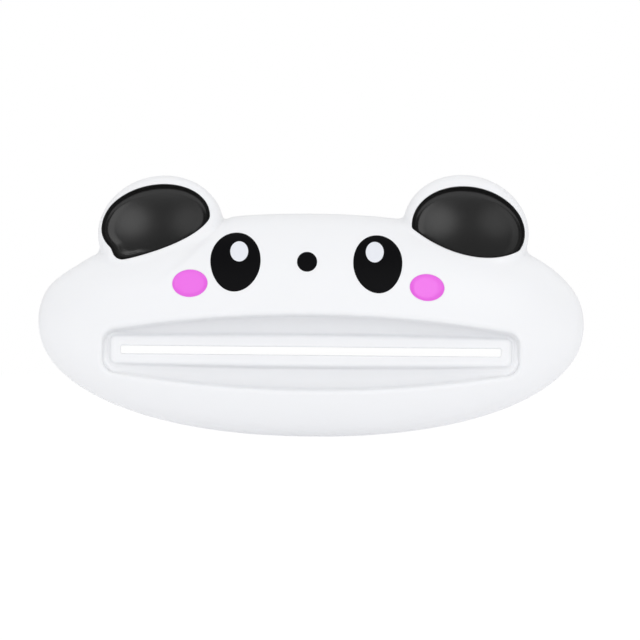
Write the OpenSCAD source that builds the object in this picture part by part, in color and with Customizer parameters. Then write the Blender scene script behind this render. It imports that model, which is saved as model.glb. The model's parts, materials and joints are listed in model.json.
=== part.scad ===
// Slide-on toothpaste tube squeezer shaped as a panda's head.
// X runs to the right of the face, Y to the back and Z up.
// The origin is the centre of the slot, on the plane where the two shells part.

/* [Head] */
// Width of the head, end to end
head_w = 95; // [88:0.5:102]
// Height of the head above its widest line
head_rise = 19; // [18:0.1:21]
// Depth of the chin below the widest line
head_drop = 19.8; // [18.5:0.1:22]
// Squareness of the head's outline, where 2 is an ellipse
head_square = 2.17; // [2:0.01:2.6]
// Depth of the face in front of the parting plane
front_depth = 11.5; // [10.5:0.1:13]
// Depth of the back behind the parting plane, up to its flat land
rear_depth = 9; // [8:0.1:11]
// Height that the flat land takes off the back's dome
land_trim = 1.2; // [0.6:0.1:2]
// Squareness of the dome's section, where 2 is an ellipse
dome_square = 2.3; // [2:0.05:3]
// Thickness of the moulded walls
wall = 1.9; // [1.5:0.1:2.3]

/* [Mouth] */
// Length of the slot that flattens the tube
slot_w = 66; // [60:0.5:68]
// Height of the slot
slot_h = 1.4; // [1.1:0.1:1.8]
// Distance of the slot below the head's widest line
slot_below = 4.9; // [4:0.1:6]
// Width of the lip past each end of the slot
lip_end = 2; // [1.7:0.05:2.3]
// Height of the lip above and below the slot, at its ends
lip_edge = 1.75; // [1.5:0.05:2]
// Extra height of the lip at its middle
lip_crown = 0.45; // [0:0.05:0.8]
// Distance of the lip's face in front of the parting plane
lip_face = 7.5; // [7:0.1:7.9]
// Width of the recess round the lip
mouth_w = 72.4; // [72:0.2:75]
// Height of the recess at its middle
mouth_h = 13.3; // [12.5:0.1:14]
// Height that the recess would have at its ends if its corners were sharp
mouth_end_h = 7.1; // [6.6:0.1:7.6]
// Distance of the recess's centre below the slot
mouth_below = 0.3; // [0:0.1:0.6]
// Distance of the recess's floor in front of the parting plane
mouth_floor = 6; // [5.5:0.1:6.4]
// Radius of the soft edge where the face turns into the recess
mouth_soft = 0.6; // [0.3:0.1:0.8]

/* [Tube entry] */
// Width of the funnel where it leaves the back
entry_w = 73; // [70:0.5:75]
// Height of the funnel at its middle
entry_h = 14; // [12:0.2:15]
// Height that the funnel would have at its ends if its corners were sharp
entry_end_h = 8.6; // [7.5:0.1:9]
// How late the funnel opens out, where 1 is a straight taper
entry_flare = 1.25; // [1:0.05:1.6]

/* [Ears] */
// Distance of each ear's centre in from the end of the head
ear_in = 20.7; // [20:0.1:22]
// Height of each ear's centre above the head's widest line
ear_rise = 16.4; // [15.8:0.1:17.5]
// Width of an ear along its long axis
ear_w = 22; // [21:0.2:23.4]
// Height of an ear along its short axis
ear_h = 19; // [18:0.2:20.4]
// Tilt of an ear, its inner end up
ear_tilt = 14; // [8:1:20]
// Depth of an ear's front in front of the parting plane
ear_front = 6.8; // [6.2:0.1:7.2]
// Depth of an ear's back behind the parting plane
ear_rear = 6; // [5:0.1:7]
// Squareness of an ear's section, where 2 is an ellipse
ear_square = 5; // [4:0.1:6]
// Width of the white rim at the top of an ear
ear_rim = 2.1; // [1.6:0.1:2.6]
// Width of the white rim at the outer side of an ear
ear_side_rim = 1.1; // [0.8:0.1:1.5]
// Radius of the brow line that closes the ear's hollow from below
brow_r = 18.5; // [16:0.5:22]
// Distance of the brow line's centre outwards from the ear's centre
brow_out = 4.4; // [3.4:0.1:5.2]
// Distance of the brow line's lowest point below the ear's centre
brow_below = 4.8; // [4.2:0.1:5.4]
// Distance of the hollow's floor in front of the parting plane
hollow_floor = 3.4; // [3:0.1:3.8]
// Depth of the dish in the middle of the floor
dish_depth = 0.8; // [0:0.1:0.9]
// Radius between the hollow's floor and its wall
hollow_soft = 1.2; // [0.6:0.1:1.5]
// Thickness of the black paint in the hollow
paint_t = 0.2; // [0.1:0.05:0.3]

/* [Face] */
// Sideways offset of the printed face from the middle of the head
print_shift = -0.85; // [-1:0.05:1]
// Width of an eye
eye_w = 8.5; // [7.5:0.1:9]
// Height of an eye
eye_h = 9.75; // [9:0.05:10.5]
// Distance of each eye's centre from the face's middle
eye_x = 12.3; // [11.5:0.1:13]
// Height of the eyes' centres above the head's widest line
eye_rise = 10.4; // [9.6:0.1:11]
// How much narrower an eye is at its foot than at its brow
eye_taper = 0.09; // [0:0.01:0.15]
// Width of the pale glint in an eye
glint_w = 3.4; // [2.8:0.1:4]
// Height of the pale glint
glint_h = 3.7; // [3:0.1:4.2]
// Distance of each glint's centre from the face's middle
glint_x = 11.8; // [11:0.1:12.5]
// Height of the glints' centres above the head's widest line
glint_rise = 12.3; // [11.5:0.1:12.8]
// Diameter of the nose
nose_d = 3.35; // [2.5:0.05:4]
// Height of the nose above the head's widest line
nose_rise = 10.65; // [10:0.05:11.5]
// Sideways offset of the cheeks from the middle of the head
cheek_shift = -0.43; // [-0.8:0.01:0.8]
// Width of a cheek
cheek_w = 5.65; // [5:0.05:6.2]
// Height of a cheek
cheek_h = 4.45; // [4:0.05:5]
// Distance of each cheek's centre from the face's middle
cheek_x = 20.6; // [20:0.1:21.5]
// Height of the cheeks' centres above the head's widest line
cheek_rise = 6.45; // [6:0.05:7]
// Depth of the hollow that a cheek's paint lies in
cheek_depth = 0.45; // [0.35:0.05:0.6]
// Thickness of the printed ink and of the cheeks' paint
ink_t = 0.2; // [0.15:0.05:0.3]

/* [Fit of the shells] */
// Diameter of the pegs that hold the shells together
peg_d = 2.8; // [2.4:0.1:3.2]
// Length of a peg
peg_l = 3.2; // [2.6:0.1:3.4]
// Clearance round a peg in its socket
peg_gap = 0.04; // [0.02:0.01:0.1]
// Diameter of the boss round a socket and under a peg
boss_d = 5.4; // [5:0.1:6]
// Distance of the upper pegs from the middle of the head
peg_upper_x = 9; // [7:0.5:10]
// Height of the upper pegs above the head's widest line
peg_upper_rise = 10; // [8:0.1:11]
// Height of the tongue that lines the shells up
tongue_h = 1; // [0.6:0.1:1.4]
// Thickness of the tongue
tongue_t = 0.75; // [0.6:0.05:0.9]
// Clearance round the tongue in its groove
tongue_gap = 0.1; // [0.05:0.05:0.15]

/* [Hidden] */
$fn = 48;

white = "#f4f5f8";
black = "#161618";
glint_grey = "#e2e5ea";
pink = "#ee82ec";

// The head's widest line and the ears' height, measured from the slot
head_z = slot_below;
ear_x = head_w / 2 - ear_in;
ear_centre = [ear_x, head_z + ear_rise];

// Corner powers of the slot, the lip and the recess: a higher one is squarer
slot_corner = 30;
lip_corner = 20;
mouth_corner = 8;
// Draft of the walls, and the small edge breaks of the lip
draft = 0.5;
lip_break = 0.3;
slot_break = 0.15;
// Reach of the soft blend between the head and an ear
blend = 1.2;
// Where a rounded edge's middle point lies, as a share of its radius
round_share = 0.3;
// Skin left over the top of a boss, and room past the end of a peg
boss_cover = 0.4;
peg_room = 0.5;
// How far a peg is rooted in its boss, and a socket runs past its mouth
root = 1;
// A reach that clears the whole head
far = 30;

// Columns of the shells: along the brow, round the ear, down to the end, along the chin
brow_columns = 7;
ear_columns = 14;
cheek_columns = 5;
chin_columns = 13;
// Where the rings of a skin lie between the mouth and the outline
skin_rows = [0.13, 0.27, 0.42, 0.56, 0.69, 0.8, 0.89, 0.955, 0.99];
lining_rows = [0.97, 0.88, 0.74, 0.58, 0.4, 0.2, 0];
// Where the rings of the funnel lie between the slot and the back
funnel_rows = [0.15, 0.35, 0.55, 0.78];
// Steps round the ear's hollow and round a printed patch
hollow_steps = 36;
patch_steps = 24;
patch_rows = [0.5, 1];

function power(value, exponent) = pow(max(0, value), exponent);
function mix(p, q, share) = p * (1 - share) + q * share;
function lift(p, y) = [p[0], y, p[1]];
function turned(p, a) = [p[0] * cos(a) - p[1] * sin(a), p[0] * sin(a) + p[1] * cos(a)];

// A rounded dome: its depth at a share of the way from its middle to its edge
function dome(share, depth, square) = depth * power(1 - power(share, square), 1 / square);

// Where a point lies in the head, 0 at its middle and 1 at its outline
function head_share(p, inset) =
    let (half_w = head_w / 2 - inset,
         half_h = (p[1] > head_z ? head_rise : head_drop) - inset)
    pow(power(abs(p[0]) / half_w, head_square)
        + power(abs(p[1] - head_z) / half_h, head_square), 1 / head_square);

// Where a point lies in the ear on its side, in the same way
function ear_share(p, inset) =
    let (q = turned([abs(p[0]), p[1]] - ear_centre, ear_tilt))
    norm([q[0] / (ear_w / 2 - inset), q[1] / (ear_h / 2 - inset)]);

// The larger of two depths, with a soft blend where they are close
function soft_max(p, q) =
    let (reach = min(blend, p, q), close = max(0, reach - abs(p - q)))
    max(p, q) + (reach > 0 ? close * close / (4 * reach) : 0);
function front_skin(p, inset = 0) = soft_max(
    dome(head_share(p, inset), front_depth - inset, dome_square),
    dome(ear_share(p, inset), ear_front - inset, ear_square));
function rear_skin(p, inset = 0) = soft_max(
    dome(head_share(p, inset), rear_depth + land_trim - inset, dome_square),
    dome(ear_share(p, inset), ear_rear - inset, ear_square));

// Outlines of the head and of the right ear, drawn in by inset
function head_point(a, inset) = [
    (head_w / 2 - inset) * cos(a),
    head_z + sign(sin(a)) * ((sin(a) > 0 ? head_rise : head_drop) - inset)
        * power(1 - power(abs(cos(a)), head_square), 1 / head_square)
];
function ear_point(a, inset) = ear_centre
    + turned([(ear_w / 2 - inset) * cos(a), (ear_h / 2 - inset) * sin(a)], -ear_tilt);

// Angle on the head's outline where it runs into the ear, found by halving
function crossing(clear, inside, inset, halvings = 24) =
    let (middle = (clear + inside) / 2)
    halvings == 0 ? middle
    : ear_share(head_point(middle, inset), inset) < 1
        ? crossing(clear, middle, inset, halvings - 1)
        : crossing(middle, inside, inset, halvings - 1);
function under_ear(inset) = acos(ear_x / (head_w / 2 - inset));
function brow_end(inset) = crossing(90, under_ear(inset), inset);
function cheek_start(inset) = crossing(0, under_ear(inset), inset);

// Angle on the ear's outline of a point that lies on it
function ear_angle(p, inset) =
    let (q = turned(p - ear_centre, ear_tilt),
         a = atan2(q[1] / (ear_h / 2 - inset), q[0] / (ear_w / 2 - inset)))
    a < -90 ? a + 360 : a;

// The right half of the outline of head and ear together, from the crown to the chin
function half_outline(inset) =
    let (brow = brow_end(inset), cheek = cheek_start(inset),
         first = ear_angle(head_point(brow, inset), inset),
         last = ear_angle(head_point(cheek, inset), inset))
    concat(
        [for (i = [0:brow_columns - 1]) head_point(mix(90, brow, i / brow_columns), inset)],
        [for (i = [0:ear_columns]) ear_point(mix(first, last, i / ear_columns), inset)],
        [for (i = [1:cheek_columns]) head_point(mix(cheek, 0, i / cheek_columns), inset)],
        [for (i = [1:chin_columns]) head_point(mix(0, -90, i / chin_columns), inset)]);

// The angle round the mouth at which each column starts
column_angles = let (brow = brow_end(0), cheek = cheek_start(0)) concat(
    [for (i = [0:brow_columns - 1]) mix(90, brow, i / brow_columns)],
    [for (i = [0:ear_columns]) mix(brow, cheek, i / ear_columns)],
    [for (i = [1:cheek_columns]) mix(cheek, 0, i / cheek_columns)],
    [for (i = [1:chin_columns]) mix(0, -90, i / chin_columns)]);

// Adds the left half to a list of points that runs from the crown to the chin
function closed(half) =
    concat(half, [for (i = [len(half) - 2:-1:1]) [-half[i][0], half[i][1]]]);
function outline(inset) = closed(half_outline(inset));

// Slot, lip, recess and funnel share one form: a long band with a crown and round corners
function band(half_w, middle, end, corner, drop = 0) = closed([for (a = column_angles)
    let (u = cos(a),
         half_h = (end + (middle - end) * (1 - u * u))
             * power(1 - power(u, corner), 1 / corner))
    [half_w * u, sign(sin(a)) * half_h - drop]]);
function slot_line(grow = 0) =
    band(slot_w / 2 + grow, slot_h / 2 + grow, slot_h / 2 + grow, slot_corner);
function lip_line(grow = 0) =
    band(slot_w / 2 + lip_end + grow, slot_h / 2 + lip_edge + lip_crown + grow,
         slot_h / 2 + lip_edge + grow, lip_corner);
function mouth_line(grow = 0) =
    band(mouth_w / 2 + grow, mouth_h / 2 + grow, mouth_end_h / 2 + grow,
         mouth_corner, mouth_below);
function entry_line(grow = 0) =
    band(entry_w / 2 + grow, entry_h / 2 + grow, entry_end_h / 2 + grow, mouth_corner);

// Rings in space: flat at a depth, or laid on a skin
function flat(line, y) = [for (p = line) lift(p, y)];
function between(start, finish, share) =
    [for (i = [0:len(start) - 1]) mix(start[i], finish[i], share)];
function on_front(line, sunk = 0) = [for (p = line) lift(p, sunk - front_skin(p))];
function on_rear(line, sunk = 0) = [for (p = line) lift(p, rear_skin(p) - sunk)];

// The inner faces of the shells; the front one stays clear of the ear's hollow
room_top = tongue_h + tongue_gap;
hollow_clear = 1.5 * wall;
function front_room(p) =
    hollow_margin(p) > -hollow_clear ? room_top : max(room_top, front_skin(p, wall));
function rear_room(p) = min(rear_depth - wall, max(tongue_h, rear_skin(p, wall)));

// The funnel at a share of its way from the slot to the back
function funnel(share, grow, limit) =
    let (narrow = slot_line(grow), wide = entry_line(grow),
         line = between(narrow, wide, pow(share, entry_flare)))
    [for (i = [0:len(line) - 1])
        lift(line[i], min(limit, rear_skin(wide[i]) * share))];

// Joins rings of equal count into one closed tube of skin
module ring_loft(rings) {
    n = len(rings[0]);
    m = len(rings);
    faces = [for (j = [0:m - 1], i = [0:n - 1])
        let (a = j * n + i, b = j * n + (i + 1) % n,
             c = ((j + 1) % m) * n + (i + 1) % n, d = ((j + 1) % m) * n + i)
        each [[a, c, b], [a, d, c]]];
    polyhedron([for (r = rings) each r], faces, convexity = 8);
}

// Joins rings of equal count and closes both ends at a tip
module capped_loft(rings, first_tip, last_tip) {
    n = len(rings[0]);
    m = len(rings);
    points = concat([for (r = rings) each r], [first_tip, last_tip]);
    side = [for (j = [0:m - 2], i = [0:n - 1])
        let (a = j * n + i, b = j * n + (i + 1) % n, c = b + n, d = a + n)
        each [[a, b, c], [a, c, d]]];
    first_cap = [for (i = [0:n - 1]) [m * n, (i + 1) % n, i]];
    last_cap = [for (i = [0:n - 1]) [m * n + 1, (m - 1) * n + i, (m - 1) * n + (i + 1) % n]];
    polyhedron(points, concat(side, first_cap, last_cap), convexity = 6);
}

// The ear's hollow: an oval drawn in by the rim and closed from below by the brow line
hollow_out = 0.3;
hollow_up = 1.2;
hollow_middle = ear_centre + [hollow_out, hollow_up];
half_dish = 0.75;
hollow_half = [ear_w / 2 - ear_side_rim, ear_h / 2 - ear_rim];
brow_centre = ear_centre + [brow_out, brow_r - brow_below];
function to_round(start, d, r) =
    let (along = -start * d) along + sqrt(along * along + r * r - start * start);
function to_oval(start, d, half) =
    let (s = [start[0] / half[0], start[1] / half[1]],
         e = [d[0] / half[0], d[1] / half[1]], along = s * e)
    (sqrt(along * along + (1 - s * s) * (e * e)) - along) / (e * e);
function hollow_reach(a, inset) = min(
    to_oval(turned(hollow_middle - ear_centre, ear_tilt), turned([cos(a), sin(a)], ear_tilt),
            hollow_half - [inset, inset]),
    to_round(hollow_middle - brow_centre, [cos(a), sin(a)], brow_r - inset));
function hollow_line(inset, share = 1) = [for (i = [0:hollow_steps - 1])
    let (a = -360 * i / hollow_steps)
    hollow_middle + hollow_reach(a, inset) * share * [cos(a), sin(a)]];
// How far a point lies inside the hollow's outline
function hollow_margin(p) =
    let (q = [abs(p[0]), p[1]] - hollow_middle)
    hollow_reach(atan2(q[1], q[0]), 0) - norm(q);

// Floor and wall of the hollow, drawn in by shrink, from its middle outwards
function hollow_floor_rings(shrink) = [
    flat(hollow_line(shrink + hollow_soft, 0.5),
         half_dish * dish_depth - hollow_floor - shrink),
    flat(hollow_line(shrink + hollow_soft), -hollow_floor - shrink),
    flat(hollow_line(shrink + round_share * hollow_soft),
         -hollow_floor - shrink - round_share * hollow_soft),
    flat(hollow_line(shrink), -hollow_floor - shrink - hollow_soft)
];
function hollow_tip(shrink) = lift(hollow_middle, dish_depth - hollow_floor - shrink);

module ear_hollow() {
    capped_loft(concat(hollow_floor_rings(0), [flat(hollow_line(0), -far)]),
                hollow_tip(0), lift(hollow_middle, -far));
}

// Black paint that lines the hollow up to the skin
module ear_paint() {
    inner = hollow_floor_rings(paint_t);
    color(black) capped_loft(
        concat(hollow_floor_rings(0), [on_front(hollow_line(0)), on_front(hollow_line(paint_t))],
               [for (i = [len(inner) - 1:-1:0]) inner[i]]),
        hollow_tip(0), hollow_tip(paint_t));
}

// A patch of the face between two depths measured from its skin
module patch(edge, middle, back, front) {
    rows = patch_rows;
    function at(share) = [for (e = edge) mix(middle, e, share)];
    capped_loft(
        concat([for (s = rows) on_front(at(s), back)],
               [for (i = [len(rows) - 1:-1:0]) on_front(at(rows[i]), front)]),
        on_front([middle], back)[0], on_front([middle], front)[0]);
}

// An egg: broad at its brow and narrower at its foot
function egg(middle, w, h, taper = 0) = [for (i = [0:patch_steps - 1])
    let (a = -360 * i / patch_steps)
    middle + [w / 2 * cos(a) * (1 + taper * sin(a)), h / 2 * sin(a)]];

// Pegs, sockets and their bosses stand at the same four places; the end ones are midway
// between the end of the recess and the end of the head
peg_end_x = (head_w + mouth_w) / 4;
peg_places = [for (side = [-1, 1])
    each [[side * peg_upper_x, head_z + peg_upper_rise], [side * peg_end_x, head_z]]];
module along_y(p) {
    translate([p[0], 0, p[1]]) rotate([90, 0, 0]) children();
}

// A boss stands on the parting plane and runs into the skin of its shell
module front_boss(p) {
    line = egg(p, boss_d, boss_d);
    capped_loft([flat(line, 0), on_front(line, boss_cover)],
                lift(p, 0), on_front([p], boss_cover)[0]);
}
module rear_boss(p) {
    line = egg(p, boss_d, boss_d);
    capped_loft([on_rear(line, boss_cover), flat(line, 0)],
                on_rear([p], boss_cover)[0], lift(p, 0));
}

module front_shell() {
    groove = wall - tongue_t - tongue_gap;
    skin_start = mouth_line(mouth_soft);
    room_start = mouth_line(wall);
    rings = concat(
        [flat(slot_line(), 0),
         flat(slot_line(), slot_break - lip_face),
         flat(slot_line(slot_break), -lip_face),
         flat(lip_line(-lip_break), -lip_face),
         flat(lip_line(), lip_break - lip_face),
         flat(lip_line(slot_break), -mouth_floor),
         flat(mouth_line(-2 * draft), -mouth_floor),
         flat(mouth_line(-draft), -mouth_floor - draft),
         on_front(mouth_line(), mouth_soft),
         on_front(mouth_line(round_share * mouth_soft), round_share * mouth_soft),
         on_front(skin_start)],
        [for (s = skin_rows) on_front(between(skin_start, outline(0), s))],
        [flat(outline(0), 0), flat(outline(groove), 0), flat(outline(groove), -room_top),
         flat(outline(wall), -room_top)],
        [for (s = lining_rows)
            [for (p = between(room_start, outline(wall), s)) lift(p, -front_room(p))]],
        [flat(mouth_line(wall - draft), wall - mouth_floor),
         flat(lip_line(), wall - mouth_floor),
         flat(lip_line(), 0)]);
    color(white) difference() {
        union() {
            ring_loft(rings);
            for (p = peg_places) front_boss(p);
        }
        ear_hollow();
        mirror([1, 0, 0]) ear_hollow();
        for (side = [-1, 1]) cheek_patch(side, cheek_depth, -wall);
        for (p = peg_places)
            along_y(p) translate([0, 0, -root])
                cylinder(d = peg_d + 2 * peg_gap, h = root + peg_l + peg_room);
    }
}

module rear_shell() {
    tongue = wall - tongue_t;
    skin_start = entry_line();
    room_start = entry_line(wall);
    limit = rear_depth - wall;
    rings = concat(
        [flat(outline(tongue), -tongue_h), flat(outline(tongue), 0), flat(outline(0), 0)],
        [for (i = [len(skin_rows) - 1:-1:0])
            on_rear(between(skin_start, outline(0), skin_rows[i]))],
        [on_rear(skin_start)],
        [for (i = [len(funnel_rows) - 1:-1:0]) funnel(funnel_rows[i], 0, far)],
        [flat(slot_line(), 0), flat(lip_line(), 0)],
        [for (s = funnel_rows) funnel(s, wall, limit)],
        [for (i = [len(lining_rows) - 1:-1:0])
            [for (p = between(room_start, outline(wall), lining_rows[i]))
                lift(p, rear_room(p))]],
        [flat(outline(wall), -tongue_h)]);
    color(white) {
        difference() {
            union() {
                ring_loft(rings);
                for (p = peg_places) rear_boss(p);
            }
            translate([-head_w, rear_depth, -head_w]) cube([2 * head_w, far, 2 * head_w]);
        }
        for (p = peg_places)
            along_y(p) translate([0, 0, -root]) cylinder(d = peg_d, h = root + peg_l);
    }
}

module eye(side) {
    middle = [print_shift + side * eye_x, head_z + eye_rise];
    color(black) patch(egg(middle, eye_w, eye_h, eye_taper), middle, 0, -ink_t);
}

module eye_glint(side) {
    middle = [print_shift + side * glint_x, head_z + glint_rise];
    color(glint_grey) patch(egg(middle, glint_w, glint_h), middle, -ink_t, -1.5 * ink_t);
}

module nose_dot() {
    middle = [print_shift, head_z + nose_rise];
    color(black) patch(egg(middle, nose_d, nose_d), middle, 0, -ink_t);
}

module cheek_patch(side, back, front) {
    middle = [cheek_shift + side * cheek_x, head_z + cheek_rise];
    patch(egg(middle, cheek_w, cheek_h), middle, back, front);
}
module cheek(side) {
    color(pink) cheek_patch(side, cheek_depth, cheek_depth - ink_t);
}

front_shell();
rear_shell();
mirror([1, 0, 0]) ear_paint();  // ear_paint_left
ear_paint();  // ear_paint_right
eye(-1);  // eye_left
eye(1);  // eye_right
eye_glint(-1);  // eye_glint_left
eye_glint(1);  // eye_glint_right
nose_dot();
cheek(-1);  // cheek_left
cheek(1);  // cheek_right
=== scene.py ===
"""Looks of a panda-faced tube squeezer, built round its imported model.

Lengths are in metres. X runs to the right of the face, Y to the back and Z up, and the
origin is the middle of the slot on the plane where the two shells part. Each piece is
drawn flat, as rings of points in X and Z that are marked as lying on the skin or at a depth
of their own. One geometry node tree then raises the marked points onto the soft form of
head and ears, so that shells, prints and paint all follow the same surface.
"""

from __future__ import annotations

import json
import logging
import math
from dataclasses import dataclass, field
from enum import Enum

import bmesh
import bpy
import numpy as np
from mathutils import Matrix, Vector, geometry

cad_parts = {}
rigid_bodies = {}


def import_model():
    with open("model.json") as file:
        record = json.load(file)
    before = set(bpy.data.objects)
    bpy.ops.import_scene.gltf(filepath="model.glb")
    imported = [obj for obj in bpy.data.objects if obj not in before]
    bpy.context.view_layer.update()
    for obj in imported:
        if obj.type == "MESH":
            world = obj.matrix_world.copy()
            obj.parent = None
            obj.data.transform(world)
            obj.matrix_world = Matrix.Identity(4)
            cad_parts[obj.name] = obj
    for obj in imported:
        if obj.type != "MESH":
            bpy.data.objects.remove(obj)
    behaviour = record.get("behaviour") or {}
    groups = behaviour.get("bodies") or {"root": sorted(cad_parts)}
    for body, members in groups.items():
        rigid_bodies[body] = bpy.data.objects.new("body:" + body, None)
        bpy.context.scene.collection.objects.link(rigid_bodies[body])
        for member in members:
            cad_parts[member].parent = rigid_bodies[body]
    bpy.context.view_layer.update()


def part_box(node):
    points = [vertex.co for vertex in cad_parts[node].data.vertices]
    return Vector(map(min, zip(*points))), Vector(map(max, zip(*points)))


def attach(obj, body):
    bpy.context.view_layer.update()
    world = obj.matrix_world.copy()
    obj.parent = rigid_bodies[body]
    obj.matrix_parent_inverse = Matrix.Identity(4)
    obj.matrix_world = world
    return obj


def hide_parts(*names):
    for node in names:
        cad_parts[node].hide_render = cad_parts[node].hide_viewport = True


LOG = logging.getLogger("squeezer")
MM = 0.001
QUARTER = math.pi / 2
FULL_TURN = 2 * math.pi
FRONT_DEPTH = 11.5 * MM
FRONT_EAR_DEPTH_MM = 6.8
REAR_EAR_DEPTH = 6.0 * MM
REAR_CROWN = 1.2 * MM


class Side(Enum):
    """The two sides of the face, as the sign of their X."""

    LEFT = -1
    RIGHT = 1

    @property
    def label(self) -> str:
        """The side's name in small letters, as in the names of nodes."""
        return self.name.lower()


class Facing(Enum):
    """The two faces of the head, as the sign of the Y that they look along."""

    FRONT = -1
    REAR = 1


class LampShape(Enum):
    """Outlines that a soft lamp can have, by their names in Blender."""

    RECTANGLE = "RECTANGLE"
    ELLIPSE = "ELLIPSE"


def power(base: np.ndarray, exponent: float) -> np.ndarray:
    """Raises numbers to a power, taking what is below zero as zero.

    Args:
        base: The numbers.
        exponent: The power.

    Returns:
        The raised numbers.
    """
    return np.power(np.maximum(base, 0.0), exponent)


def turned(points: np.ndarray, angle: float) -> np.ndarray:
    """Turns flat points anticlockwise about the origin by an angle in radians.

    Args:
        points: The points, one to a row.
        angle: The angle.

    Returns:
        The turned points.
    """
    c, s = math.cos(angle), math.sin(angle)
    return points @ np.array([[c, s], [-s, c]])


def mix(start: np.ndarray, end: np.ndarray, share: float) -> np.ndarray:
    """Blends two sets of points, where a share of 0 is the first and 1 the second.

    Args:
        start: The first set.
        end: The second set, of the same count.
        share: How far to go from the first to the second.

    Returns:
        The blended points.
    """
    return start * (1.0 - share) + end * share


def spaced(line: np.ndarray, count: int, corner: float = 0.0, closed: bool = False,
           ends: float = 0.0) -> np.ndarray:
    """Spaces points along a line, closer where it turns and towards its ends.

    Args:
        line: The line's points, many of them.
        count: How many points to return.
        corner: Length that one radian of turning counts as.
        closed: Whether the line runs back to its first point, which isn't repeated.
        ends: How much closer the points lie at the two ends, from 0 to below 1.

    Returns:
        The points, the first of them the line's own first point.
    """
    path = np.vstack([line, line[:1]]) if closed else line
    step = np.diff(path, axis=0)
    heading = np.unwrap(np.arctan2(step[:, 1], step[:, 0]))
    turn = np.abs(np.diff(heading, prepend=heading[:1]))
    along = np.concatenate([[0.0], np.cumsum(np.linalg.norm(step, axis=1) + corner * turn)])
    place = np.linspace(0.0, 1.0, count + 1 if closed else count)
    place = place - ends * np.sin(FULL_TURN * place) / FULL_TURN
    if closed:
        place = place[:-1]
    return np.stack([np.interp(place * along[-1], along, path[:, k]) for k in (0, 1)], axis=1)


def mirrored(half: np.ndarray) -> np.ndarray:
    """Closes a half line that runs from the crown to the chin with its mirror image.

    Args:
        half: The half on the right.

    Returns:
        The closed line, from the crown clockwise.
    """
    return np.vstack([half, half[-2:0:-1] * np.array([-1.0, 1.0])])


def inside(points: np.ndarray, loop: np.ndarray) -> np.ndarray:
    """Says for each flat point whether it lies inside a closed loop.

    Args:
        points: The points to ask about.
        loop: The loop's points in order.

    Returns:
        True for each point inside.
    """
    x, z = points[:, :1], points[:, 1:]
    x0, z0 = loop[:, 0], loop[:, 1]
    x1, z1 = np.roll(x0, -1), np.roll(z0, -1)
    spans = (z0 > z) != (z1 > z)
    rise = np.where(z1 == z0, 1.0, z1 - z0)
    crosses = spans & (x < x0 + (z - z0) * (x1 - x0) / rise)
    return crosses.sum(axis=1) % 2 == 1


@dataclass(frozen=True)
class Dome:
    """How far one face of the head and of its ears stands off the parting plane."""

    facing: Facing
    head_depth: float
    ear_depth: float
    land: float = 0.0


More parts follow.
